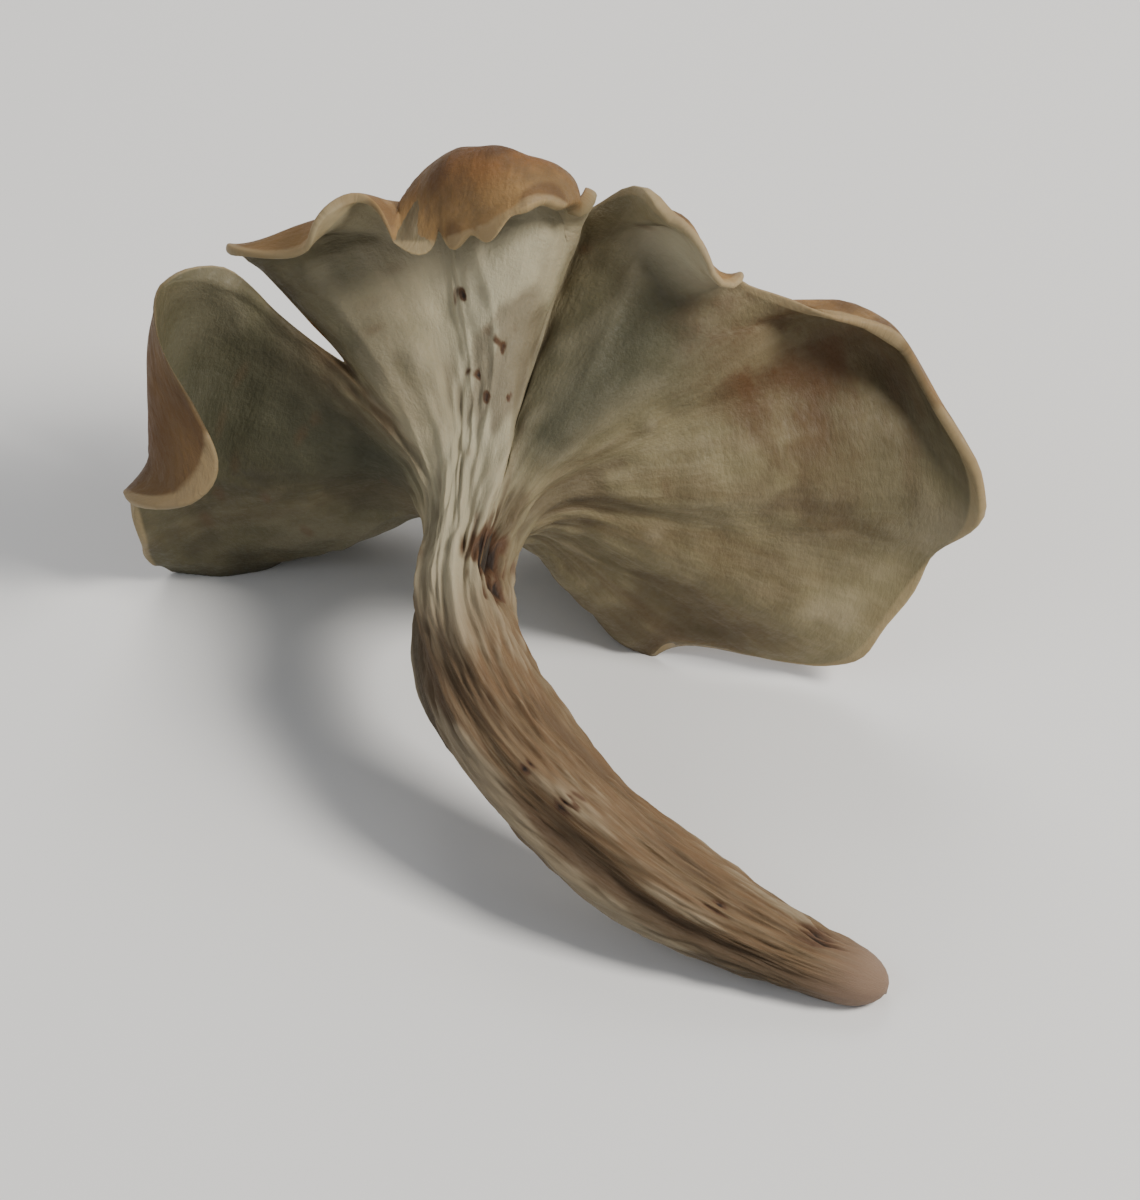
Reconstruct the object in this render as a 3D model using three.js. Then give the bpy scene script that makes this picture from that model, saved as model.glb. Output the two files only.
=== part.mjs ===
// A black trumpet mushroom, picked and lying on its side.
// Millimetres, +Z up. The stem's base lies to the front right (+X, -Y) and the funnel opens to the back (+Y).
// It grew as one piece, so it is one hollow body: a bent, tapering stem that widens into a funnel,
// whose thin wall spreads into lobes with a rolled, waved and split rim.

import * as THREE from "three";

// Stem
const NECK = new THREE.Vector3(-4.5, 0, 11.7); // centre of the narrowest place, where the funnel starts
const BASE_FROM_NECK = new THREE.Vector3(22.9, -16.8, -10.8);
const BASE_HEADING = new THREE.Vector3(-0.96, 0.16, 0.2); // the way the stem sets out from its base
const MOUTH_HEADING = new THREE.Vector3(0.06, 1, 0.25); // the way the funnel opens
const BASE_PULL = 13; // how far each heading is kept before the stem bends
const NECK_PULL = 9.5;
const BASE_RADIUS = 1.9;
const BELLY_RADIUS = 3.15; // thickest, half way up the bend
const NECK_RADIUS = 2.4;
const BASE_ROUNDING = 3; // length of the rounded end
const STEM_FLATNESS = 0.07; // share by which the stem's section is oval
const CREASE = { at: 160, halfWidth: 15, depth: 0.7 }; // fold along the stem, degrees round it

// Hollow and wall
const WALL = 1.1;
const EDGE_WALL = 0.85; // at the rim
const HOLLOW_START = 0.25; // share of the stem that is solid, from the base
const HOLLOW_OPEN = 0.6; // where the hollow has its full width
const HOLLOW_TIP_RADIUS = 0.6;

// Funnel: lobes round the rim, in degrees from the right (0) over the top (90) to the left (180).
// length is the wall from neck to rim, flare the angle it spreads to, roll how far the lip turns over,
// and sweep how far round the rim leans, so that the two sides of the split lap over each other.
const FLARE_REACH = 11; // distance from the neck over which the wall bends outwards
const SWEEP_REACH = 20; // distance from the neck at which the whole sweep is reached
const ROLLING_LENGTHS = [21, 26]; // walls shorter than the first don't roll, longer than the second do
const LOBES = [
  { name: "right corner", at: 352, spread: 9, length: 30.5, flare: 76, roll: 25, lip: 5, sweep: 0 },
  { name: "right top", at: 15, spread: 8, length: 32, flare: 58, roll: 90, lip: 7, sweep: 0 },
  { name: "right dip", at: 31, spread: 7, length: 22, flare: 46, roll: 70, lip: 6, sweep: 0 },
  { name: "right curl", at: 45, spread: 7, length: 28, flare: 34, roll: 130, lip: 8, sweep: 0 },
  { name: "right fold", at: 63.5, spread: 9, length: 22, flare: 24, roll: 40, lip: 6, sweep: 0 },
  { name: "crest end", at: 81, spread: 7, length: 26, flare: 28, roll: 150, lip: 9, sweep: 0 },
  { name: "crest", at: 109, spread: 15, length: 30.5, flare: 28, roll: 200, lip: 10.5, sweep: 0 },
  { name: "crest notch", at: 125.5, spread: 6, length: 20.5, flare: 33, roll: 70, lip: 7, sweep: 5 },
  { name: "left curl", at: 134, spread: 6, length: 24, flare: 45, roll: 130, lip: 6, sweep: 9 },
  { name: "crest edge", at: 147, spread: 6, length: 23.5, flare: 55, roll: 10, lip: 5, sweep: 17 },
  { name: "split", at: 158, spread: 6, length: 8, flare: 61, roll: 0, lip: 4, sweep: 4 },
  { name: "wing edge", at: 167.5, spread: 6, length: 25.5, flare: 67, roll: 0, lip: 4, sweep: -9 },
  { name: "left wing", at: 177, spread: 7, length: 32, flare: 70, roll: 220, lip: 13, sweep: -6 },
  { name: "left side", at: 194, spread: 9, length: 23, flare: 84, roll: 80, lip: 7, sweep: 0 },
  { name: "left foot", at: 212, spread: 12, length: 24, flare: 97, roll: 15, lip: 4, sweep: 0 },
  { name: "underside", at: 270, spread: 16, length: 19, flare: 52, roll: 20, lip: 4, sweep: 0 },
  { name: "right foot", at: 314, spread: 10, length: 20.5, flare: 104, roll: 15, lip: 4, sweep: 0 },
  { name: "right side", at: 333, spread: 8, length: 28, flare: 100, roll: 20, lip: 4, sweep: 0 },
];
// Small waves added round the rim: how many, how high and where they start.
const LENGTH_WAVES = [[5, 0.7, 1.3], [9, 0.5, 0.4], [13, 0.4, 2.2]];
const FLARE_WAVES = [[4, 3, 0.7], [7, 3, 2.9]];
const ROLL_WAVES = [[6, 16, 1.1], [11, 9, 0.3]];

// Wrinkles that run up the outside: how many round, height, start, and how much they wander.
const WRINKLES = [[5, 0.13, 0.5, 1.6], [8, 0.12, 2.1, 2.2], [13, 0.1, 4.0, 1.8]];
const WRINKLE_LENGTH = 15;
const WRINKLE_GROWTH = [-20, 0]; // distances from the neck between which they grow to their whole height
const STEM_WRINKLE = 0.4; // their share of it lower down

// The side on the table: what would hang lower than PRESS_DEPTH under it is flat, and the wall above gives way.
const PRESS_DEPTH = 0.6;
const PRESS_REACH = 4;

// Faceting
const COLUMNS = 88;
const CROWDING = 0.45; // how much closer the columns stand at the split
const CAP_ROWS = 3;
const STEM_ROWS = 12;
const FLARE_ROWS = 12;
const LIP_ROWS = 8;
const EDGE_ROWS = 2;
const SLOPE_STEPS = 48; // steps in which the wall's slope is added up
const TINY_TURN = 0.002; // radians and millimetres, for taking directions on the wall
const TINY_STEP = 0.02;

const UP = new THREE.Vector3(0, 0, 1);
const radians = THREE.MathUtils.degToRad;
const mix = THREE.MathUtils.lerp;
const ease = THREE.MathUtils.smoothstep;
const sum = (items, value) => items.reduce((total, item) => total + value(item), 0);

// The stem's middle line, from base to neck.
const mouthWay = MOUTH_HEADING.clone().normalize();
const base = NECK.clone().add(BASE_FROM_NECK);
const stemLine = new THREE.CubicBezierCurve3(
  base,
  base.clone().addScaledVector(BASE_HEADING.clone().normalize(), BASE_PULL),
  NECK.clone().addScaledVector(mouthWay, -NECK_PULL),
  NECK,
);

// A point at an angle round the middle line, at a radius from it.
function around(centre, way, angle, radius) {
  const side = new THREE.Vector3().crossVectors(way, UP).normalize();
  const top = new THREE.Vector3().crossVectors(side, way);
  return centre
    .clone()
    .addScaledVector(side, radius * Math.cos(angle))
    .addScaledVector(top, radius * Math.sin(angle));
}

// Radius of the stem: it swells half way up, is a little oval, and has a fold along it.
function stemRadius(t, angle) {
  const swell = BELLY_RADIUS - (BASE_RADIUS + NECK_RADIUS) / 2;
  const round = mix(BASE_RADIUS, NECK_RADIUS, t) + swell * Math.sin(Math.PI * t);
  const oval = 1 + STEM_FLATNESS * Math.cos(2 * angle) * Math.sin(Math.PI * t);
  const off = Math.cos(angle - radians(CREASE.at)) - 1;
  const crease = CREASE.depth * Math.exp(off / radians(CREASE.halfWidth) ** 2) * Math.sin(Math.PI * t);
  return round * oval - crease;
}

// Radius of the hollow in the stem: it opens from a narrow end to the whole width inside the wall.
function hollowRadius(t, angle) {
  return mix(HOLLOW_TIP_RADIUS, stemRadius(t, angle) - WALL, ease(t, HOLLOW_START, HOLLOW_OPEN));
}

// What the lobes give at an angle: each one counts by how near it is.
function lobeAt(angle) {
  const near = LOBES.map((lobe) => Math.exp((Math.cos(angle - radians(lobe.at)) - 1) / radians(lobe.spread) ** 2));
  const total = sum(near, (share) => share);
  const blend = (key) => LOBES.reduce((value, lobe, i) => value + lobe[key] * near[i], 0) / total;
  const wave = (waves) => sum(waves, ([count, height, start]) => height * Math.sin(count * angle + start));
  const length = blend("length") + wave(LENGTH_WAVES);
  return {
    length,
    flare: radians(blend("flare") + wave(FLARE_WAVES)),
    roll: radians(blend("roll") + wave(ROLL_WAVES)) * ease(length, ...ROLLING_LENGTHS),
    lip: blend("lip"),
    sweep: radians(blend("sweep")),
  };
}

// The middle of the funnel's wall at an angle, a distance up from the neck.
// The wall's slope eases from the neck's to the lobe's flare, and then turns over by the lobe's roll.
function funnelPoint(angle, distance) {
  const lobe = lobeAt(angle);
  const bare = lobe.length - lobe.lip;
  const step = distance / SLOPE_STEPS;
  let radius = stemRadius(1, angle) - WALL / 2;
  let along = 0;
  for (let k = 0; k < SLOPE_STEPS; k++) {
    const middle = (k + 0.5) * step;
    const slope = lobe.flare * ease(middle, 0, FLARE_REACH) + lobe.roll * ease(middle, bare, lobe.length);
    radius += step * Math.sin(slope);
    along += step * Math.cos(slope);
  }
  const leaning = angle + lobe.sweep * (distance / SWEEP_REACH) ** 2;
  return around(NECK.clone().addScaledVector(mouthWay, along), mouthWay, leaning, radius);
}

// Outward direction of the funnel's wall there.
function funnelOut(angle, distance) {
  const at = funnelPoint(angle, distance);
  const along = funnelPoint(angle, distance + TINY_STEP).sub(at);
  const across = funnelPoint(angle + TINY_TURN, distance).sub(at);
  return along.cross(across).normalize();
}

// Height of the wrinkles at an angle and a distance from the neck, down the stem or up the funnel.
function wrinkle(angle, distance) {
  const whole = sum(WRINKLES, ([count, height, start, wander]) =>
    height * Math.sin(count * angle + start + wander * Math.sin(distance / WRINKLE_LENGTH + start)));
  return whole * mix(STEM_WRINKLE, 1, ease(distance, ...WRINKLE_GROWTH));
}

// The stem's rows of points at a share of its length, outside and inside.
function stemRow(t, angles) {
  const centre = stemLine.getPoint(t);
  const way = stemLine.getTangent(t);
  const distance = (t - 1) * stemLine.getLength();
  return {
    outside: angles.map((angle) => around(centre, way, angle, stemRadius(t, angle) + wrinkle(angle, distance))),
    inside: angles.map((angle) => around(centre, way, angle, hollowRadius(t, angle))),
  };
}

// The funnel's rows at a share of each column's bare wall and of its lip.
function funnelRow(bareShare, lipShare, angles) {
  const height = (FLARE_ROWS * bareShare + LIP_ROWS * lipShare) / (FLARE_ROWS + LIP_ROWS);
  const half = mix(WALL, EDGE_WALL, height) / 2;
  const points = angles.map((angle) => {
    const lobe = lobeAt(angle);
    const distance = (lobe.length - lobe.lip) * bareShare + lobe.lip * lipShare;
    const middle = funnelPoint(angle, distance);
    const out = funnelOut(angle, distance);
    return {
      middle,
      out,
      rounding: (EDGE_WALL / 2) * ease(lobe.length, ...ROLLING_LENGTHS),
      outside: middle.clone().addScaledVector(out, half + wrinkle(angle, distance)),
      inside: middle.clone().addScaledVector(out, -half),
    };
  });
  return { points, outside: points.map((p) => p.outside), inside: points.map((p) => p.inside) };
}

// Rows that round off the rim, from the outside to the inside.
function edgeRows(points) {
  const rows = [];
  for (let k = 1; k <= EDGE_ROWS; k++) {
    const turn = (Math.PI * k) / (EDGE_ROWS + 1);
    rows.push(
      points.map((p, j) => {
        const next = points[(j + 1) % COLUMNS].middle;
        const before = points[(j + COLUMNS - 1) % COLUMNS].middle;
        const over = new THREE.Vector3().subVectors(next, before).cross(p.out).normalize();
        return p.outside
          .clone()
          .lerp(p.inside, (1 - Math.cos(turn)) / 2)
          .addScaledVector(over, p.rounding * Math.sin(turn));
      }),
    );
  }
  return rows;
}

// The table's press: heights from -PRESS_DEPTH up to PRESS_REACH are drawn up, and lower ones lie flat on a floor:
// the table for the outside, and a wall's thickness above it for the inside.
function press(row, floor) {
  for (const point of row)
    if (point.z < PRESS_REACH)
      point.z = mix(floor, PRESS_REACH, Math.max(point.z + PRESS_DEPTH, 0) / (PRESS_REACH + PRESS_DEPTH));
}

// A closed surface through rows of points, with a single point at each end.
function closedSurface(firstPoint, rows, lastPoint) {
  const points = [firstPoint, ...rows.flat(), lastPoint];
  const index = (i, j) => 1 + i * COLUMNS + (j % COLUMNS);
  const last = points.length - 1;
  const triangles = [];
  for (let j = 0; j < COLUMNS; j++) {
    triangles.push(0, index(0, j), index(0, j + 1));
    for (let i = 0; i + 1 < rows.length; i++) {
      triangles.push(index(i, j), index(i + 1, j), index(i + 1, j + 1));
      triangles.push(index(i, j), index(i + 1, j + 1), index(i, j + 1));
    }
    triangles.push(last, index(rows.length - 1, j + 1), index(rows.length - 1, j));
  }
  const geometry = new THREE.BufferGeometry().setFromPoints(points);
  geometry.setIndex(triangles);
  geometry.computeVertexNormals();
  return geometry;
}

// The whole mushroom: up the outside, over the rim and down the inside.
function mushroomGeometry() {
  const split = radians(LOBES.find((lobe) => lobe.name === "split").at);
  const angles = Array.from({ length: COLUMNS }, (_, j) => {
    const even = (2 * Math.PI * j) / COLUMNS;
    return split + even - CROWDING * Math.sin(even);
  });
  const start = stemLine.getTangent(0);
  const cap = [];
  for (let i = 1; i < CAP_ROWS; i++) {
    const turn = (Math.PI / 2) * (i / CAP_ROWS);
    const centre = base.clone().addScaledVector(start, -BASE_ROUNDING * Math.cos(turn));
    cap.push(angles.map((angle) => around(centre, start, angle, stemRadius(0, angle) * Math.sin(turn))));
  }
  const stem = Array.from({ length: STEM_ROWS }, (_, i) => stemRow(i / STEM_ROWS, angles));
  const flare = Array.from({ length: FLARE_ROWS + 1 }, (_, i) => funnelRow(i / FLARE_ROWS, 0, angles));
  const lip = Array.from({ length: LIP_ROWS }, (_, i) => funnelRow(1, (i + 1) / LIP_ROWS, angles));
  const walls = [...stem, ...flare, ...lip];
  const hollowRow = Math.ceil(HOLLOW_START * STEM_ROWS);
  const inside = walls.slice(hollowRow).map((row) => row.inside);
  const edge = edgeRows(lip.at(-1).points);
  const tip = base.clone().addScaledVector(start, -BASE_ROUNDING);
  const hollowTip = stemLine.getPoint(HOLLOW_START - 0.5 / STEM_ROWS);
  const outside = [...cap, ...walls.map((row) => row.outside)];
  outside.forEach((row) => press(row, 0));
  edge.forEach((row, k) => press(row, (EDGE_WALL * (k + 1)) / (EDGE_ROWS + 1)));
  inside.forEach((row) => press(row, EDGE_WALL));
  return closedSurface(tip, [...outside, ...edge, ...inside.reverse()], hollowTip);
}

const flesh = new THREE.MeshStandardMaterial({ color: 0x8c7a62, roughness: 0.85, metalness: 0 });
const mushroom = new THREE.Mesh(mushroomGeometry(), flesh);
mushroom.name = "mushroom";

const part = new THREE.Group();
part.add(mushroom);
export default part;
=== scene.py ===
import bpy
import numpy as np
from mathutils import Matrix, Vector


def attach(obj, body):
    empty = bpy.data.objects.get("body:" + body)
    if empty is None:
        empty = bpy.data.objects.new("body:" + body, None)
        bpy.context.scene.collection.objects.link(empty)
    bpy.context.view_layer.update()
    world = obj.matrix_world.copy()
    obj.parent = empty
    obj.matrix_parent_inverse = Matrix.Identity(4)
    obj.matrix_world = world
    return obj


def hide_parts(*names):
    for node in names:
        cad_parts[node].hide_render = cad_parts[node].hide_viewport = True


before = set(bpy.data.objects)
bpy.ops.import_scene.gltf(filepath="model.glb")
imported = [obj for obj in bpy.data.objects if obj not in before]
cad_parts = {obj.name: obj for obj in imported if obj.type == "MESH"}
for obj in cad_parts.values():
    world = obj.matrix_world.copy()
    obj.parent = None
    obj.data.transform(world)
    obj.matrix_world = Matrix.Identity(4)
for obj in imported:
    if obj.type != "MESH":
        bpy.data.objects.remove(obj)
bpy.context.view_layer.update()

# A black trumpet mushroom, picked and lying on its side. Shapes are in millimetres and degrees,
# and become metres when they are put into the mesh.
MM = 0.001

# Stem: from its base at the front right to the neck, where the funnel starts.
NECK = np.array([-4.5, 0.0, 11.7])
BASE = NECK + np.array([22.9, -16.8, -10.8])
BASE_HEADING = np.array([-0.96, 0.16, 0.2])
MOUTH_HEADING = np.array([0.06, 1.0, 0.25])
BASE_PULL = 13.0
NECK_PULL = 9.5
BASE_RADIUS = 1.9
BELLY_RADIUS = 3.15
NECK_RADIUS = 2.4
BASE_ROUNDING = 3.0
STEM_FLATNESS = 0.07
CREASE_AT = 160.0
CREASE_HALF_WIDTH = 15.0
CREASE_DEPTH = 0.7
LENGTH_SAMPLES = 200  # points along the stem between which its length is measured

# Hollow and wall
WALL = 1.1
EDGE_WALL = 0.85
LIP_WALL = 0.38  # at the very edge
LIP_THINNING = (0.45, 1.0)  # shares of the lip over which the wall thins
HOLLOW_START = 0.25  # share of the stem where the hollow starts
HOLLOW_OPEN = 0.6  # share where it comes to its whole width
HOLLOW_TIP_RADIUS = 0.6

# Funnel: each lobe of the rim stands at an angle from the right (0) over the top (90) to the left (180).
# Angle, spread, length of the wall, flare it spreads to, roll and length of the lip, sweep round the rim
LOBES = {
    "right corner": (352, 9, 30.5, 76, 25, 5, 0),
    "right top": (15, 8, 32, 58, 90, 7, 0),
    "right dip": (31, 7, 22, 46, 70, 6, 0),
    "right curl": (45, 7, 28, 34, 130, 8, 0),
    "right fold": (63.5, 9, 22, 24, 40, 6, 0),
    "crest end": (81, 7, 26, 28, 150, 9, 0),
    "crest": (109, 15, 30.5, 28, 200, 10.5, 0),
    "crest notch": (125.5, 6, 20.5, 33, 70, 7, 5),
    "left curl": (134, 6, 24, 45, 130, 6, 9),
    "crest edge": (147, 6, 23.5, 55, 10, 5, 17),
    "split": (158, 6, 8, 61, 0, 4, 4),
    "wing edge": (167.5, 6, 25.5, 67, 0, 4, -9),
    "left wing": (177, 7, 32, 70, 220, 13, -6),
    "left side": (194, 9, 23, 84, 80, 7, 0),
    "left foot": (212, 12, 24, 97, 15, 4, 0),
    "underside": (270, 16, 19, 52, 20, 4, 0),
    "right foot": (314, 10, 20.5, 104, 15, 4, 0),
    "right side": (333, 8, 28, 100, 20, 4, 0),
}
FLARE_REACH = 11.0
SWEEP_REACH = 20.0
ROLLING_LENGTHS = (21.0, 26.0)  # lengths of wall between which the lip comes to its whole roll
# Waves round the rim: count, height, start
LENGTH_WAVES = ((5, 0.7, 1.3), (9, 0.5, 0.4), (13, 0.4, 2.2))
FLARE_WAVES = ((4, 3, 0.7), (7, 3, 2.9))
ROLL_WAVES = ((6, 16, 1.1), (11, 9, 0.3))
# Wrinkles: count, height, start, how far the start wanders along the wall
WRINKLES = ((5, 0.13, 0.5, 1.6), (8, 0.12, 2.1, 2.2), (13, 0.1, 4.0, 1.8))
WRINKLE_LENGTH = 15.0
WRINKLE_GROWTH = (-20.0, 0.0)  # distances from the neck between which they grow to their whole height
STEM_WRINKLE = 0.4

# Fine relief that the eye finds from close by
FLOW_RADIUS = 9.0  # width given to the wall when a pattern is laid round it
LUMP_HEIGHT = 0.16
NET_HEIGHT = 0.15
NET_SHARPNESS = 1.6
STREAK_HEIGHT = 0.07
PUCKER_HEIGHT = 0.05
RIDGE_GROWTH = (-14.0, 6.0)  # distances from the neck between which net and streaks grow
STEM_RIDGE = 0.3  # their share of the height on the stem
BASE_SMOOTH = (0.0, 0.08)  # shares of the stem over which the relief comes in
RIPPLE_HEIGHT = 0.35
SCALE_HEIGHT = 0.1
SCALE_FLOOR = -0.4  # where the noise of the scales is cut off
NICK_SHARE = 0.045  # how ragged the edge is, as a share of the lip
FINE_NICK = 0.7  # the finer of the edge's two noises, to the coarser
PIT_WANDER = 0.3  # how far the edge of a pit strays
# Noises: wavelength, seed and, where it is drawn out along the wall, how much
LUMP_NOISE = (8.0, 14, 1.6)
NET_NOISE = (5.0, 11, 3.2)
STREAK_NOISE = (2.4, 12, 7.0)
PUCKER_NOISE = (1.1, 13, 1.6)
SCALE_NOISE = (1.7, 21, 2.6)
RIPPLE_NOISE = (6.0, 41, 1.4)
NICK_NOISE = (2.6, 31)
FINE_NICK_NOISE = (1.1, 32)
PIT_ACROSS_NOISE = (1.8, 51)
PIT_ALONG_NOISE = (1.8, 52)
NOISE_WAVES = 26
NOISE_SPREAD = (0.7, 1.5)  # least and most of the wavelength
# Brown pits: angle, distance from the neck, half width across, half width along, depth
PITS = (
    (90, 13.2, 0.3, 0.5, 0.15),
    (101, 11.2, 0.3, 0.45, 0.12),
    (108, 15.5, 0.3, 0.4, 0.12),
    (84, 10.0, 0.3, 0.5, 0.12),
    (48, 0.8, 1.3, 1.9, 0.8),
    (36, -1.6, 1.0, 1.2, 0.7),
    (124, -14.4, 0.35, 0.5, 0.12),
    (120, -17.2, 0.45, 0.6, 0.2),
    (112, -26.2, 0.4, 0.5, 0.2),
    (76, -31.4, 0.8, 1.0, 0.6),
)
# Patches of colour: angle, half width, distances over which it comes in and goes out, strength
PALE_PATCHES = (
    (100, 22, (2, 8), (19, 26), 1.0),
    (112, 42, (-8, 0), (6, 12), 0.8),
    (133, 7, (19, 22), (40, 50), 0.5),
    (43, 6, (18, 22), (30, 34), 0.9),
)
# Darker grey-green patches: partly the flesh's own darker tone, partly painted shade on the wing, in the fold
# and the split, and on the lower side
DARK_TONE_AND_SHADE_PATCHES = (
    (184, 17, (3, 9), (40, 50), 1.0),
    (38, 13, (5, 9), (18, 23), 1.0),
    (2, 9, (22, 28), (40, 50), 0.5),
    (146, 8, (8, 14), (40, 50), 0.6),
    (230, 32, (2, 10), (40, 50), 0.8),
)
RUST_PATCHES = (
    (18, 13, (16, 20), (27, 32), 0.9),
    (160, 7, (4, 7), (14, 18), 0.4),
)
# Painted shade on the shaded side of the stem and in its crease, as bells round the axis
STEM_SHADE_AT = 205.0
STEM_SHADE_HALF_WIDTH = 30.0
CREASE_SHADE_AT = CREASE_AT + 4.0
CREASE_SHADE_HALF_WIDTH = CREASE_HALF_WIDTH / 2

# Colours, in screen values from 0 to 255
OLIVE_TAN = (128, 117, 86)
OLIVE_GREY = (108, 99, 72)
STEM_TAN = (106, 82, 56)
MOTTLE_BROWN = (86, 76, 55)
STREAK_BROWN = (92, 70, 44)
STREAK_PALE = (166, 152, 122)
BLOOM_PALE = (190, 181, 152)
SHADE_GREY = (64, 57, 44)
# painted shade in the stem's crease
CREASE_SHADE_BROWN = (70, 53, 36)
# painted shade in the low parts of the relief
RECESS_SHADE_BROWN = (74, 58, 40)
# painted highlight on the ridges of the relief
RIDGE_HIGHLIGHT = (180, 167, 138)
# grey-green of the darker patches, partly the flesh's own tone and partly painted shade
GREY_GREEN_TONE_AND_SHADE = (58, 59, 43)
RUST_BROWN = (84, 58, 32)
DOT_BROWN = (92, 68, 46)
PIT_BROWN = (88, 64, 44)
PIT_BLACK = (32, 24, 17)
BASE_PINK = (138, 114, 97)
INNER_DARK = (44, 38, 31)
INNER_RUST = (118, 82, 46)
LIP_TAN = (150, 122, 80)
# pale streaks on the lip: partly its own tone, partly painted highlight
LIP_STREAK_AND_HIGHLIGHT = (172, 134, 84)
LIP_MOTTLE = (84, 68, 46)
SCALE_BROWN = (72, 47, 27)
LIP_SHADE = (74, 54, 33)
# pale edge: partly the dried edge's own colour, partly a painted highlight on the lit rim
EDGE_CREAM_AND_HIGHLIGHT = (170, 150, 112)
SCREEN_POWER = 2.2

# Where the colours lie, from none to all: distances from the neck or the rim, heights, shares of a pit
ON_STEM = (6.0, -5.0)
ON_FUNNEL = (-12.0, 4.0)
ON_BASE = (-30.5, -35.0)
# the low relief gets painted shade
LOW_RELIEF = (-0.02, -0.24)
# the high relief gets a painted highlight
HIGH_RELIEF = (0.12, 0.34)
PIT_RING = (0.15, 0.5)
PIT_MIDDLE = (0.5, 0.9)
ON_LIP = (11.0, 4.0)
NEAR_EDGE = (3.5, 0.8)
ON_EDGE = (0.3, 0.05)
SCALE_TOPS = (0.02, 0.14)
RUST_EVENNESS = 0.5  # added to the mottle that breaks up the rust

# Patterns in the material: scale, drawing out, and the limits between which the noise is spread
BROAD = (0.16, 0.7, 0.38, 0.62)
MOTTLE = (0.5, 0.5, 0.42, 0.62)
LONG_STREAKS = (0.75, 0.12, 0.45, 0.7)
FINE_STREAKS = (2.6, 0.1, 0.4, 0.7)
GRAIN = (5.0, 0.6, 0.3, 0.7)
FIBRE_DETAIL = 5.0
FIBRE_ROUGHNESS = 0.62
SPECK_SCALE = 0.55
SPECK_SIZE = 0.32
SPECK_CORE = 0.05
SPECK_PATCHES = 0.2
SPECK_PATCH_LIMITS = (0.5, 0.62)
SPECK_PATCH_DETAIL = 2.0

# Shine and fine bump of the flesh; lengths here are in metres
ROUGHNESS = (0.52, 0.78)
STREAK_BUMP = 0.6
BUMP_STRENGTH = 0.35
BUMP_DISTANCE = 0.00012
SPECULAR = 0.35
SUBSURFACE = 0.08
SUBSURFACE_RADIUS = (1.0, 0.6, 0.35)
SUBSURFACE_SCALE = 0.0006

# Press of the surface it lies on
PRESS_DEPTH = 0.6
PRESS_REACH = 4.0

# Grid
COLUMNS = 400
CROWDING = 0.45  # how much closer the columns stand at the split
CAP_ROWS = 8
STEM_ROWS = 60
FLARE_ROWS = 56
LIP_ROWS = 30
EDGE_ROWS = 5
INNER_STEM_ROWS = 24
INNER_FLARE_ROWS = 32
INNER_LIP_ROWS = 22
SLOPE_STEPS = 48
TINY_TURN = 0.002  # radians
TINY_STEP = 0.02

# View and light, in millimetres from the middle of the object
CAMERA_PLACE = (-2.3, -184.28, 198.7)
CAMERA_AIM = (1.5, -1.8, 12.6)
CAMERA_UP = (-0.1127, 0.7106, 0.6945)
CAMERA_LENS = 148.0
CLIP_START = 0.01  # metres
FLOOR_SIZE = 4.0  # metres
FLOOR_COLOUR = (0.8, 0.79, 0.77)
FLOOR_ROUGHNESS = 0.9
# Soft lights: place, size, power in watts, tone
LIGHTS = {
    "key": ((240, -40, 300), 120, 1.7, (1.0, 0.97, 0.92)),
    "fill": ((-260, -160, 200), 260, 0.35, (0.92, 0.96, 1.0)),
    "back": ((-60, 260, 240), 200, 0.5, (1.0, 0.98, 0.95)),
}
LIGHT_AIM = (0, 0, 10)
LIGHT_UP = (0.1, 0.2, 1)
SKY_COLOUR = (0.9, 0.93, 1.0)
SKY_STRENGTH = 0.25


def ease(x, low, high):
    """Smooth step: 0 below low, 1 above high, and 3 s^2 - 2 s^3 of the share s between them."""
    share = np.clip((x - low) / (high - low), 0.0, 1.0)
    return share * share * (3.0 - 2.0 * share)


def unit(vectors):
    """Each vector divided by its length."""
    return vectors / np.linalg.norm(vectors, axis=-1, keepdims=True)


MOUTH_WAY = unit(MOUTH_HEADING)
STEM_CORNERS = np.array([BASE, BASE + BASE_PULL * unit(BASE_HEADING), NECK - NECK_PULL * MOUTH_WAY, NECK])


def stem_line(t):
    """Cubic Bezier curve set by the stem's corners: its points and the unit vectors along it at shares t."""
    s = np.asarray(t, float)[..., None]
    a, b, c, d = STEM_CORNERS
    point = (1 - s) ** 3 * a + 3 * (1 - s) ** 2 * s * b + 3 * (1 - s) * s**2 * c + s**3 * d
    way = 3 * (1 - s) ** 2 * (b - a) + 6 * (1 - s) * s * (c - b) + 3 * s**2 * (d - c)
    return point, unit(way)


STEM_STEPS = np.diff(stem_line(np.linspace(0, 1, LENGTH_SAMPLES))[0], axis=0)
STEM_LENGTH = np.linalg.norm(STEM_STEPS, axis=1).sum()


def around(centre, way, angle, radius):
    """Centre plus radius times (cosine of the angle to the side, sine of it upwards), square to the way."""
    side = unit(np.cross(way, (0.0, 0.0, 1.0)))
    top = np.cross(side, way)
    return centre + (radius * np.cos(angle))[..., None] * side + (radius * np.sin(angle))[..., None] * top


def bump_round(angle, at, half_width):
    """A bell round the axis: e to the power (cosine of the turn to its middle, less 1) over width squared."""
    return np.exp((np.cos(angle - np.radians(at)) - 1.0) / np.radians(half_width) ** 2)


def stem_radius(t, angle):
    """Radius from base to neck plus a half sine for the belly, times an oval, less the bell of the crease."""
    belly = np.sin(np.pi * t)
    swell = BELLY_RADIUS - (BASE_RADIUS + NECK_RADIUS) / 2
    plain = BASE_RADIUS + (NECK_RADIUS - BASE_RADIUS) * t + swell * belly
    oval = 1 + STEM_FLATNESS * np.cos(2 * angle) * belly
    return plain * oval - CREASE_DEPTH * bump_round(angle, CREASE_AT, CREASE_HALF_WIDTH) * belly


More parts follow.
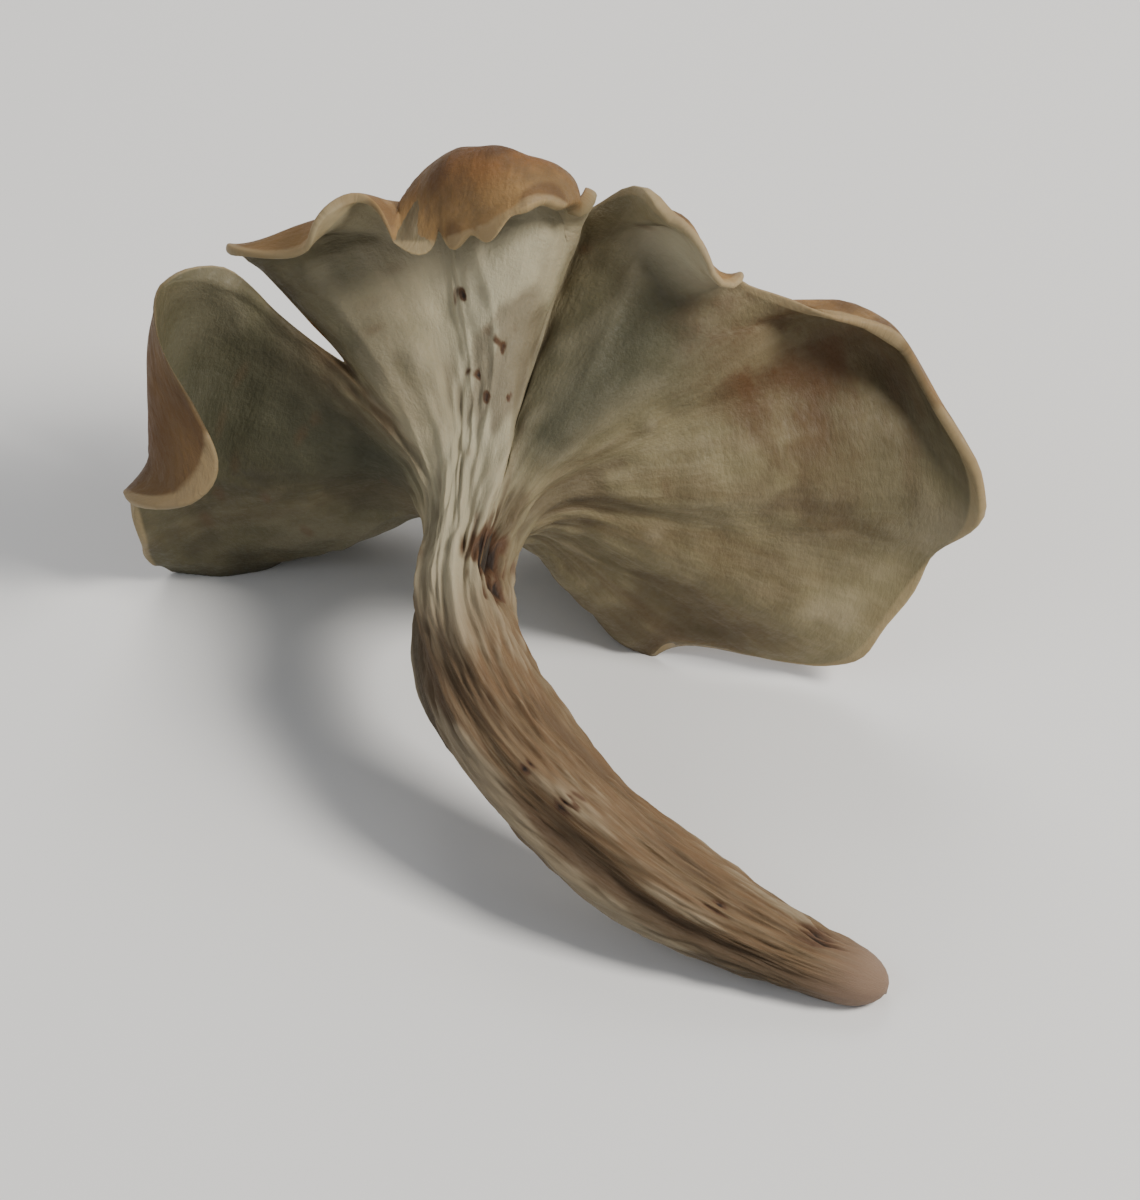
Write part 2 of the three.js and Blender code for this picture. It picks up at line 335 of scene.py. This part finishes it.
def hollow_radius(t, angle):
    """Radius of the hollow: its narrow end, easing to the stem's radius less the wall."""
    opening = ease(t, HOLLOW_START, HOLLOW_OPEN)
    return HOLLOW_TIP_RADIUS + (stem_radius(t, angle) - WALL - HOLLOW_TIP_RADIUS) * opening


def sines(angle, waves):
    """Sum of height times the sine of (count times angle plus start)."""
    return sum(height * np.sin(count * angle + start) for count, height, start in waves)


def lobe_values(angle):
    """Length, flare, roll, lip and sweep at an angle: the mean of the lobes, weighed by a bell round each.

    Waves round the rim are added to length, flare and roll, and the roll goes out where the wall is short.
    """
    table = np.array(list(LOBES.values()), float)
    near = np.stack([bump_round(angle, at, spread) for at, spread in table[:, :2]], axis=-1)
    near /= near.sum(axis=-1, keepdims=True)
    length, flare, roll, lip, sweep = np.moveaxis(near @ table[:, 2:], -1, 0)
    length = length + sines(angle, LENGTH_WAVES)
    flare = np.radians(flare + sines(angle, FLARE_WAVES))
    roll = np.radians(roll + sines(angle, ROLL_WAVES)) * ease(length, *ROLLING_LENGTHS)
    return length, flare, roll, lip, np.radians(sweep)


def funnel_wall(angle, distance):
    """Middle of the wall: radius and height are the sums of sine and cosine of its slope along the way up.

    The slope eases from 0 to the flare near the neck, and adds the roll over the lip. The angle leans by
    the sweep times the square of the distance.
    """
    length, flare, roll, lip, sweep = lobe_values(angle)
    step = distance / SLOPE_STEPS
    middles = (np.arange(SLOPE_STEPS) + 0.5) * step[..., None]
    slope = flare[..., None] * ease(middles, 0.0, FLARE_REACH)
    slope = slope + roll[..., None] * ease(middles, (length - lip)[..., None], length[..., None])
    radius = stem_radius(1.0, angle) - WALL / 2 + np.sin(slope).sum(axis=-1) * step
    along = np.cos(slope).sum(axis=-1) * step
    leaning = angle + sweep * (distance / SWEEP_REACH) ** 2
    return around(NECK + along[..., None] * MOUTH_WAY, MOUTH_WAY, leaning, radius)


def funnel_out(angle, distance, middle):
    """Outward unit normal of the wall: the cross product of a tiny step up it and a tiny turn round it."""
    up = funnel_wall(angle, distance + TINY_STEP) - middle
    turn = funnel_wall(angle + TINY_TURN, distance) - middle
    return unit(np.cross(up, turn))


def flow(angle, distance):
    """Place of a point on a straight tube: patterns laid on it follow the wall and close round it."""
    return np.stack([FLOW_RADIUS * np.cos(angle), FLOW_RADIUS * np.sin(angle), distance], axis=-1)


def noise(points, size, seed, stretch=1.0):
    """Sum of seeded sine waves in many directions, with wavelengths near size, drawn out along the wall."""
    draw = np.random.default_rng(seed)
    ways = unit(draw.normal(size=(NOISE_WAVES, 3))) / (size * draw.uniform(*NOISE_SPREAD, (NOISE_WAVES, 1)))
    starts = draw.uniform(0.0, 2 * np.pi, NOISE_WAVES)
    total = 0.0
    for way, start in zip(2 * np.pi * ways / (1.0, 1.0, stretch), starts):
        total = total + np.sin(points @ way + start)
    return total * np.sqrt(2.0 / NOISE_WAVES)


def wrinkle(angle, distance):
    """Sum of sines round the axis whose starts wander with the distance from the neck, lower on the stem."""
    whole = sum(
        height * np.sin(count * angle + start + wander * np.sin(distance / WRINKLE_LENGTH + start))
        for count, height, start, wander in WRINKLES
    )
    return whole * (STEM_WRINKLE + (1 - STEM_WRINKLE) * ease(distance, *WRINKLE_GROWTH))


def pits(angle, distance, width):
    """Each pit is a bell: e to the minus square of the way to it, across and along, each over its half width.

    Two noises shift the places, so that the pits are not round.
    """
    mask = np.zeros_like(distance)
    depth = np.zeros_like(distance)
    place_on = flow(angle, distance)
    stray_across = PIT_WANDER * noise(place_on, *PIT_ACROSS_NOISE)
    stray_along = PIT_WANDER * noise(place_on, *PIT_ALONG_NOISE)
    for at, up, across, along, deep in PITS:
        turn = np.sin((angle - np.radians(at)) / 2) * 2 * width + stray_across
        bell = np.exp(-((turn / across) ** 2) - ((distance + stray_along - up) / along) ** 2)
        mask = np.maximum(mask, bell)
        depth = np.maximum(depth, deep * bell)
    return mask, depth


def patches(angle, distance, rows):
    """The strongest of several patches, each a bell round the axis times eases in and out along the wall."""
    found = np.zeros_like(distance)
    for at, half_width, rise, fall, strength in rows:
        along = ease(distance, *rise) * (1.0 - ease(distance, *fall))
        found = np.maximum(found, strength * bump_round(angle, at, half_width) * along)
    return found


def outer_relief(angle, distance):
    """Fine height of the outside: lumps, a net of ridges (1 less a noise's size), streaks and puckers."""
    at = flow(angle, distance)
    on_funnel = ease(distance, *RIDGE_GROWTH)
    lump = noise(at, *LUMP_NOISE)
    net = np.clip(1.0 - np.abs(noise(at, *NET_NOISE)) * NET_SHARPNESS, 0.0, 1.0)
    streak = noise(at, *STREAK_NOISE)
    pucker = noise(at, *PUCKER_NOISE)
    ridges = NET_HEIGHT * net**2 + STREAK_HEIGHT * streak
    ridges = ridges * (STEM_RIDGE + (1 - STEM_RIDGE) * on_funnel)
    return LUMP_HEIGHT * lump + ridges + PUCKER_HEIGHT * pucker


def inner_relief(angle, distance):
    """Fine height of the inside: small scales drawn out along the wall, as a noise cut off at the bottom."""
    at = flow(angle, distance)
    return SCALE_HEIGHT * np.maximum(noise(at, *SCALE_NOISE), SCALE_FLOOR)


def press(points, floor):
    """Heights under the reach are drawn up in proportion, and those below the press depth lie on a floor."""
    z = points[..., 2]
    share = np.maximum(z + PRESS_DEPTH, 0.0) / (PRESS_REACH + PRESS_DEPTH)
    lifted = floor + (PRESS_REACH - floor) * share
    points[..., 2] = np.where(z < PRESS_REACH, lifted, z)
    return points


def funnel_rows(bare_rows, lip_rows, angle):
    """Angles, distances and shares of a grid on the funnel: even steps up the bare wall, then up the lip.

    The lip is drawn out by a noise round the rim times the square of the share, so its edge is ragged.
    """
    bare = np.concatenate([np.arange(bare_rows + 1) / bare_rows, np.ones(lip_rows)])[:, None]
    lip_share = np.concatenate([np.zeros(bare_rows + 1), np.arange(1, lip_rows + 1) / lip_rows])[:, None]
    length, _, _, lip, _ = lobe_values(angle)
    rim = flow(angle, np.zeros_like(angle))
    ragged = noise(rim, *NICK_NOISE) + FINE_NICK * noise(rim, *FINE_NICK_NOISE)
    nick = 1.0 + NICK_SHARE * ragged * lip_share**2 * ease(length, *ROLLING_LENGTHS)
    distance = (length - lip) * bare + lip * lip_share * nick
    share = (FLARE_ROWS * bare + LIP_ROWS * lip_share) / (FLARE_ROWS + LIP_ROWS) + 0 * distance
    return angle + 0 * distance, distance, share, lip_share + 0 * distance


def funnel_layers(bare_rows, lip_rows, angle):
    """The funnel's wall as a grid: its middle with a ripple, its normal, and half its thickness."""
    turn, distance, share, lip_share = funnel_rows(bare_rows, lip_rows, angle)
    middle = funnel_wall(turn, distance)
    out = funnel_out(turn, distance, middle)
    rolling = ease(lobe_values(angle)[0], *ROLLING_LENGTHS)
    ripple = RIPPLE_HEIGHT * noise(flow(turn, distance), *RIPPLE_NOISE) * share**2 * rolling
    wall = WALL + (EDGE_WALL - WALL) * share
    wall = wall + (LIP_WALL - wall) * ease(lip_share, *LIP_THINNING)
    return turn, distance, middle + ripple[..., None] * out, out, wall / 2


def mushroom_grid():
    """The whole skin as rows of points: up the outside, over the rim and down the inside.

    With it come the point at each end, the values that the finish reads, and the place on a straight tube.
    """
    even = np.linspace(0.0, 2 * np.pi, COLUMNS, endpoint=False)
    angle = np.radians(LOBES["split"][0]) + even - CROWDING * np.sin(even)
    length = lobe_values(angle)[0]

    first, first_way = stem_line(0.0)
    cap_turn = (np.pi / 2 * np.arange(1, CAP_ROWS) / CAP_ROWS)[:, None]
    cap_centre = first - BASE_ROUNDING * np.cos(cap_turn)[..., None] * first_way
    cap_angle = angle + 0 * cap_turn
    cap = around(cap_centre, first_way, cap_angle, stem_radius(0.0, cap_angle) * np.sin(cap_turn))
    cap_distance = -STEM_LENGTH - BASE_ROUNDING * np.cos(cap_turn) + 0 * cap_angle

    t = (np.arange(STEM_ROWS) / STEM_ROWS)[:, None]
    centre, way = stem_line(t)
    stem_angle = angle + 0 * t
    stem_distance = (t - 1) * STEM_LENGTH + 0 * stem_angle
    stem_bare = stem_radius(t, stem_angle)
    fine = outer_relief(stem_angle, stem_distance) * ease(t, *BASE_SMOOTH)
    dents, dent_depth = pits(stem_angle, stem_distance, stem_bare)
    stem_high = stem_bare + wrinkle(stem_angle, stem_distance) + fine - dent_depth
    stem = around(centre, way, stem_angle, stem_high)

    turn, distance, middle, out, half = funnel_layers(FLARE_ROWS, LIP_ROWS, angle)
    relief = outer_relief(turn, distance)
    width = np.linalg.norm(np.cross(middle - NECK, MOUTH_WAY), axis=-1)
    holes, hole_depth = pits(turn, distance, width)
    high = half + wrinkle(turn, distance) + relief - hole_depth
    outside = middle + high[..., None] * out

    i_turn, i_distance, i_middle, i_out, i_half = funnel_layers(INNER_FLARE_ROWS, INNER_LIP_ROWS, angle)
    scales = inner_relief(i_turn, i_distance)
    inside = i_middle - (i_half + scales)[..., None] * i_out

    it = (HOLLOW_START + (1 - HOLLOW_START) * np.arange(INNER_STEM_ROWS) / INNER_STEM_ROWS)[:, None]
    i_centre, i_way = stem_line(it)
    hollow_angle = angle + 0 * it
    hollow = around(i_centre, i_way, hollow_angle, hollow_radius(it, hollow_angle))
    hollow_distance = (it - 1) * STEM_LENGTH + 0 * hollow_angle

    edge_share = np.arange(1, EDGE_ROWS + 1)[:, None] / (EDGE_ROWS + 1)
    edge_turn = np.pi * edge_share[..., None]
    rim_way = np.roll(middle[-1], -1, axis=0) - np.roll(middle[-1], 1, axis=0)
    over = unit(np.cross(rim_way, out[-1]))
    rounding = (LIP_WALL / 2) * ease(length, *ROLLING_LENGTHS)
    edge = outside[-1] + (inside[-1] - outside[-1]) * (1 - np.cos(edge_turn)) / 2
    edge = edge + rounding[:, None] * over * np.sin(edge_turn)

    outer = press(np.concatenate([cap, stem, outside]), 0.0)
    edge = press(edge, EDGE_WALL * edge_share)
    inner = press(np.concatenate([hollow, inside]), EDGE_WALL)[::-1]
    points = np.concatenate([outer, edge, inner])

    edge_angle = angle + np.zeros((EDGE_ROWS, 1))
    edge_distance = distance[-1] + np.zeros((EDGE_ROWS, 1))
    inner_angle = np.concatenate([hollow_angle, i_turn])[::-1]
    inner_distance = np.concatenate([hollow_distance, i_distance])[::-1]
    all_angle = np.concatenate([cap_angle, stem_angle, turn, edge_angle, inner_angle])
    climb = np.concatenate([cap_distance, stem_distance, distance, edge_distance, inner_distance])
    plain_cap = np.zeros_like(cap_distance)
    plain_edge = np.zeros_like(edge_distance)
    outer_height = np.concatenate([plain_cap, fine, relief])
    inner_height = np.concatenate([np.zeros_like(hollow_distance), scales])[::-1]
    finish = {
        "climb": climb,
        "to_rim": np.maximum(length - climb, 0.0),
        "inside": np.concatenate(
            [np.zeros_like(outer[..., 0]), edge_share + plain_edge, np.ones_like(inner_distance)]
        ),
        "height": np.concatenate([outer_height, plain_edge, inner_height]),
        "pit": np.concatenate([plain_cap, dents, holes, plain_edge, np.zeros_like(inner_distance)]),
        "under": bump_round(all_angle, STEM_SHADE_AT, STEM_SHADE_HALF_WIDTH),
        "crease": bump_round(all_angle, CREASE_SHADE_AT, CREASE_SHADE_HALF_WIDTH),
        "pale": patches(all_angle, climb, PALE_PATCHES),
        "dark_tone_and_shade": patches(all_angle, climb, DARK_TONE_AND_SHADE_PATCHES),
        "rust": patches(all_angle, climb, RUST_PATCHES),
    }
    tip = first - BASE_ROUNDING * first_way
    half_row = 0.5 / STEM_ROWS
    hollow_tip = stem_line(HOLLOW_START - half_row)[0]
    return tip, points, hollow_tip, finish, flow(all_angle, climb)


def closed_skin(name, tip, grid, end, finish, laid):
    """A closed mesh through the grid's rows: four-sided between rows, three-sided at each end's point."""
    rows, columns = grid.shape[:2]
    points = np.concatenate([tip[None], grid.reshape(-1, 3), end[None]]) * MM
    index = 1 + np.arange(rows * columns).reshape(rows, columns)
    after = np.roll(index, -1, axis=1)
    quads = np.stack([index[:-1], index[1:], after[1:], after[:-1]], axis=-1).reshape(-1, 4)
    first_fan = np.stack([np.zeros(columns, int), index[0], after[0]], axis=-1)
    last_fan = np.stack([np.full(columns, len(points) - 1), after[-1], index[-1]], axis=-1)
    corners = np.concatenate([first_fan.ravel(), quads.ravel(), last_fan.ravel()])
    sizes = np.concatenate([np.full(columns, 3), np.full(len(quads), 4), np.full(columns, 3)])
    starts = np.concatenate([[0], np.cumsum(sizes)[:-1]])

    mesh = bpy.data.meshes.new(name)
    mesh.vertices.add(len(points))
    mesh.vertices.foreach_set("co", points.ravel())
    mesh.loops.add(len(corners))
    mesh.loops.foreach_set("vertex_index", corners)
    mesh.polygons.add(len(sizes))
    mesh.polygons.foreach_set("loop_start", starts)
    mesh.polygons.foreach_set("use_smooth", np.ones(len(sizes), bool))
    mesh.update(calc_edges=True)
    for key, values in finish.items():
        flat = np.concatenate([values[0, :1], values.ravel(), values[-1, :1]])
        mesh.attributes.new(key, "FLOAT", "POINT").data.foreach_set("value", flat)
    placed = np.concatenate([laid[0, :1], laid.reshape(-1, 3), laid[-1, :1]])
    mesh.attributes.new("laid", "FLOAT_VECTOR", "POINT").data.foreach_set("vector", placed.ravel())
    piece = bpy.data.objects.new(name, mesh)
    bpy.context.collection.objects.link(piece)
    return piece


def colour(screen):
    """A colour given in screen values from 0 to 255, as linear light: a power of each share."""
    return tuple((value / 255) ** SCREEN_POWER for value in screen) + (1.0,)


def feed(tree, socket, value):
    """Links a socket to an input, or sets the input to any other value."""
    if isinstance(value, bpy.types.NodeSocket):
        tree.links.new(value, socket)
    else:
        socket.default_value = value


def place(tree, kind, settings=None, **inputs):
    """A new node with its settings and its inputs, whose names have underscores for spaces."""
    made = tree.nodes.new(kind)
    for key, value in (settings or {}).items():
        setattr(made, key, value)
    for key, value in inputs.items():
        feed(tree, made.inputs[key.replace("_", " ")], value)
    return made


def span(tree, value, low, high):
    """A value's share of the way from low to high, eased and kept between 0 and 1."""
    smooth = {"interpolation_type": "SMOOTHSTEP"}
    made = place(tree, "ShaderNodeMapRange", smooth, Value=value, From_Min=low, From_Max=high)
    return made.outputs["Result"]


def maths(tree, kind, a, b):
    """One sum, product or other operation on two values."""
    made = place(tree, "ShaderNodeMath", {"operation": kind})
    feed(tree, made.inputs[0], a)
    feed(tree, made.inputs[1], b)
    return made.outputs[0]


def tint(tree, under, over, mask):
    """The colour over laid on the colour under, as thickly as the mask says."""
    made = place(tree, "ShaderNodeMix", {"data_type": "RGBA"})
    factor, first, second = (socket for socket in made.inputs if socket.enabled)
    feed(tree, factor, mask)
    feed(tree, first, under)
    feed(tree, second, over)
    return next(socket for socket in made.outputs if socket.enabled)


def coated(tree, ground, coats):
    """A colour under coats of other colours, each as thick as its mask times its share."""
    for tone, mask, share in coats:
        ground = tint(tree, ground, colour(tone), maths(tree, "MULTIPLY", mask, share))
    return ground


def new_group(name, values):
    """An empty node group that takes a place and these values and gives a mask, with its two end nodes."""
    group = bpy.data.node_groups.new(name, "ShaderNodeTree")
    group.interface.new_socket("Place", in_out="INPUT", socket_type="NodeSocketVector")
    for key in values:
        group.interface.new_socket(key, in_out="INPUT", socket_type="NodeSocketFloat")
    group.interface.new_socket("Mask", in_out="OUTPUT", socket_type="NodeSocketFloat")
    return group, group.nodes.new("NodeGroupInput"), group.nodes.new("NodeGroupOutput")


def fibre_group():
    """Fibres: a noise whose place is drawn out along the third axis, spread between two limits."""
    group, source, result = new_group("fibres", ["Scale", "Draw Out", "From", "To"])
    drawn = place(group, "ShaderNodeCombineXYZ", X=1.0, Y=1.0, Z=source.outputs["Draw Out"])
    product = place(group, "ShaderNodeVectorMath", {"operation": "MULTIPLY"})
    group.links.new(source.outputs["Place"], product.inputs[0])
    group.links.new(drawn.outputs[0], product.inputs[1])
    grain = place(
        group,
        "ShaderNodeTexNoise",
        Vector=product.outputs[0],
        Scale=source.outputs["Scale"],
        Detail=FIBRE_DETAIL,
        Roughness=FIBRE_ROUGHNESS,
    )
    spread = span(group, grain.outputs[0], source.outputs["From"], source.outputs["To"])
    group.links.new(spread, result.inputs["Mask"])
    return group


def speckle_group():
    """Specks: cells with a spot in the middle of some, kept where a second noise is high."""
    group, source, result = new_group("specks", ["Scale", "Size", "Patches"])
    laid = source.outputs["Place"]
    cells = place(group, "ShaderNodeTexVoronoi", Vector=laid, Scale=source.outputs["Scale"])
    near = span(group, cells.outputs["Distance"], source.outputs["Size"], SPECK_CORE)
    where = place(
        group,
        "ShaderNodeTexNoise",
        Vector=laid,
        Scale=source.outputs["Patches"],
        Detail=SPECK_PATCH_DETAIL,
    )
    some = span(group, where.outputs[0], *SPECK_PATCH_LIMITS)
    group.links.new(maths(group, "MULTIPLY", near, some), result.inputs["Mask"])
    return group


def use(tree, group, **inputs):
    """A group placed in a material with its own values, giving its mask."""
    return place(tree, "ShaderNodeGroup", {"node_tree": group}, **inputs).outputs["Mask"]


def mushroom_flesh():
    """Olive with a pale bloom and grey-green patches that are partly the flesh's own tone and partly painted
    shade, tan stem with painted shade on its lower side and in its crease, painted shade in the low relief
    and a painted highlight on its ridges, rust-brown scaly lips with pale streaks that are partly painted
    highlight, pale edges that are partly a painted highlight, and brown pits.
    """
    fibres = fibre_group()
    specks = speckle_group()
    material = bpy.data.materials.new("mushroom flesh")
    material.use_nodes = True
    tree = material.node_tree
    tree.nodes.clear()
    result = tree.nodes.new("ShaderNodeOutputMaterial")
    skin = tree.nodes.new("ShaderNodeBsdfPrincipled")
    tree.links.new(skin.outputs[0], result.inputs["Surface"])

    def read(name, output="Fac"):
        """A value that the mesh holds at each point."""
        return place(tree, "ShaderNodeAttribute", {"attribute_name": name}).outputs[output]

    def pattern(scale, draw_out, low, high):
        """The fibre group with these values."""
        return use(tree, fibres, Place=laid, Scale=scale, Draw_Out=draw_out, From=low, To=high)

    def both(a, b):
        """Where two masks meet."""
        return maths(tree, "MULTIPLY", a, b)

    laid = read("laid", "Vector")
    climb = read("climb")
    to_rim = read("to_rim")
    height = read("height")
    pit = read("pit")
    dark_tone_and_shade = read("dark_tone_and_shade")
    mottle = pattern(*MOTTLE)
    long_streaks = pattern(*LONG_STREAKS)
    fine_streaks = pattern(*FINE_STREAKS)
    grain = pattern(*GRAIN)
    dots = use(tree, specks, Place=laid, Scale=SPECK_SCALE, Size=SPECK_SIZE, Patches=SPECK_PATCHES)
    on_stem = span(tree, climb, *ON_STEM)
    rust = both(read("rust"), maths(tree, "ADD", mottle, RUST_EVENNESS))

    # Each coat: colour, mask, share
    outer = coated(
        tree,
        tint(tree, colour(OLIVE_TAN), colour(OLIVE_GREY), pattern(*BROAD)),
        (
            (STEM_TAN, on_stem, 1.0),
            (MOTTLE_BROWN, mottle, 0.35),
            (STREAK_BROWN, both(long_streaks, span(tree, climb, *ON_FUNNEL)), 0.45),
            (STREAK_PALE, fine_streaks, 0.2),
            (BLOOM_PALE, read("pale"), 0.75),
            # painted shade on the stem's lower side
            (SHADE_GREY, both(read("under"), on_stem), 0.8),
            # painted shade in the stem's crease
            (CREASE_SHADE_BROWN, both(read("crease"), on_stem), 0.6),
            # painted shade in the low parts of the relief
            (RECESS_SHADE_BROWN, span(tree, height, *LOW_RELIEF), 0.5),
            # painted highlight on the ridges of the relief
            (RIDGE_HIGHLIGHT, span(tree, height, *HIGH_RELIEF), 0.3),
            # darker patches: partly the flesh's own grey-green, partly painted shade
            (GREY_GREEN_TONE_AND_SHADE, dark_tone_and_shade, 0.84),
            (RUST_BROWN, rust, 0.75),
            (DOT_BROWN, dots, 0.5),
            (PIT_BROWN, span(tree, pit, *PIT_RING), 1.0),
            (PIT_BLACK, span(tree, pit, *PIT_MIDDLE), 0.9),
            (BASE_PINK, span(tree, climb, *ON_BASE), 0.7),
        ),
    )
    inner = coated(
        tree,
        tint(tree, colour(INNER_DARK), colour(INNER_RUST), span(tree, to_rim, *ON_LIP)),
        (
            (LIP_TAN, span(tree, to_rim, *NEAR_EDGE), 0.6),
            # pale streaks on the lip: partly its own tone, partly painted highlight
            (LIP_STREAK_AND_HIGHLIGHT, long_streaks, 0.4),
            (LIP_MOTTLE, mottle, 0.55),
            (SCALE_BROWN, span(tree, height, *SCALE_TOPS), 0.5),
            (LIP_SHADE, dark_tone_and_shade, 0.7),
        ),
    )
    flesh = tint(tree, outer, inner, read("inside"))
    # pale edge: partly the dried edge's own colour, partly a painted highlight on the lit rim
    flesh = coated(tree, flesh, ((EDGE_CREAM_AND_HIGHLIGHT, span(tree, to_rim, *ON_EDGE), 0.45),))
    tree.links.new(flesh, skin.inputs["Base Color"])

    smooth, dull = ROUGHNESS
    rough = place(tree, "ShaderNodeMapRange", Value=grain, To_Min=smooth, To_Max=dull)
    tree.links.new(rough.outputs["Result"], skin.inputs["Roughness"])
    relief = maths(tree, "ADD", maths(tree, "MULTIPLY", fine_streaks, STREAK_BUMP), grain)
    bump = place(tree, "ShaderNodeBump", Strength=BUMP_STRENGTH, Distance=BUMP_DISTANCE, Height=relief)
    tree.links.new(bump.outputs["Normal"], skin.inputs["Normal"])
    skin.inputs["Specular IOR Level"].default_value = SPECULAR
    skin.inputs["Subsurface Weight"].default_value = SUBSURFACE
    skin.inputs["Subsurface Radius"].default_value = SUBSURFACE_RADIUS
    skin.inputs["Subsurface Scale"].default_value = SUBSURFACE_SCALE
    return material


def floor():
    """A plain pale floor under the object."""
    mesh = bpy.data.meshes.new("floor")
    half = FLOOR_SIZE / 2
    corners = [(-half, -half, 0), (half, -half, 0), (half, half, 0), (-half, half, 0)]
    mesh.from_pydata(corners, [], [(0, 1, 2, 3)])
    plane = bpy.data.objects.new("floor", mesh)
    material = bpy.data.materials.new("floor paper")
    material.use_nodes = True
    paper = material.node_tree.nodes["Principled BSDF"]
    paper.inputs["Base Color"].default_value = FLOOR_COLOUR + (1.0,)
    paper.inputs["Roughness"].default_value = FLOOR_ROUGHNESS
    mesh.materials.append(material)
    bpy.context.collection.objects.link(plane)


def turned_to(place_mm, aim_mm, up):
    """The turn and place of something at a point that looks at an aim, with this way up."""
    at = Vector(place_mm) * MM
    back = (at - Vector(aim_mm) * MM).normalized()
    right = Vector(up).cross(back).normalized()
    top = back.cross(right)
    return Matrix.Translation(at) @ Matrix((right, top, back)).transposed().to_4x4()


def soft_light(name, place_mm, size_mm, power, tone):
    """A square soft light that shines on the object."""
    lamp = bpy.data.lights.new(name, "AREA")
    lamp.size = size_mm * MM
    lamp.energy = power
    lamp.color = tone
    holder = bpy.data.objects.new(name, lamp)
    holder.matrix_world = turned_to(place_mm, LIGHT_AIM, LIGHT_UP)
    bpy.context.collection.objects.link(holder)


mushroom = closed_skin("mushroom_skin", *mushroom_grid())
mushroom.data.materials.append(mushroom_flesh())
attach(mushroom, "root")
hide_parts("mushroom")

floor()
for light_name, light_values in LIGHTS.items():
    soft_light(light_name, *light_values)

world = bpy.data.worlds.new("studio")
world.use_nodes = True
sky = world.node_tree.nodes["Background"]
sky.inputs["Color"].default_value = SKY_COLOUR + (1.0,)
sky.inputs["Strength"].default_value = SKY_STRENGTH
bpy.context.scene.world = world

lens = bpy.data.cameras.new("camera")
lens.sensor_fit = "HORIZONTAL"
lens.lens = CAMERA_LENS
lens.clip_start = CLIP_START
camera = bpy.data.objects.new("camera", lens)
camera.matrix_world = turned_to(CAMERA_PLACE, CAMERA_AIM, CAMERA_UP)
bpy.context.collection.objects.link(camera)
bpy.context.scene.camera = camera
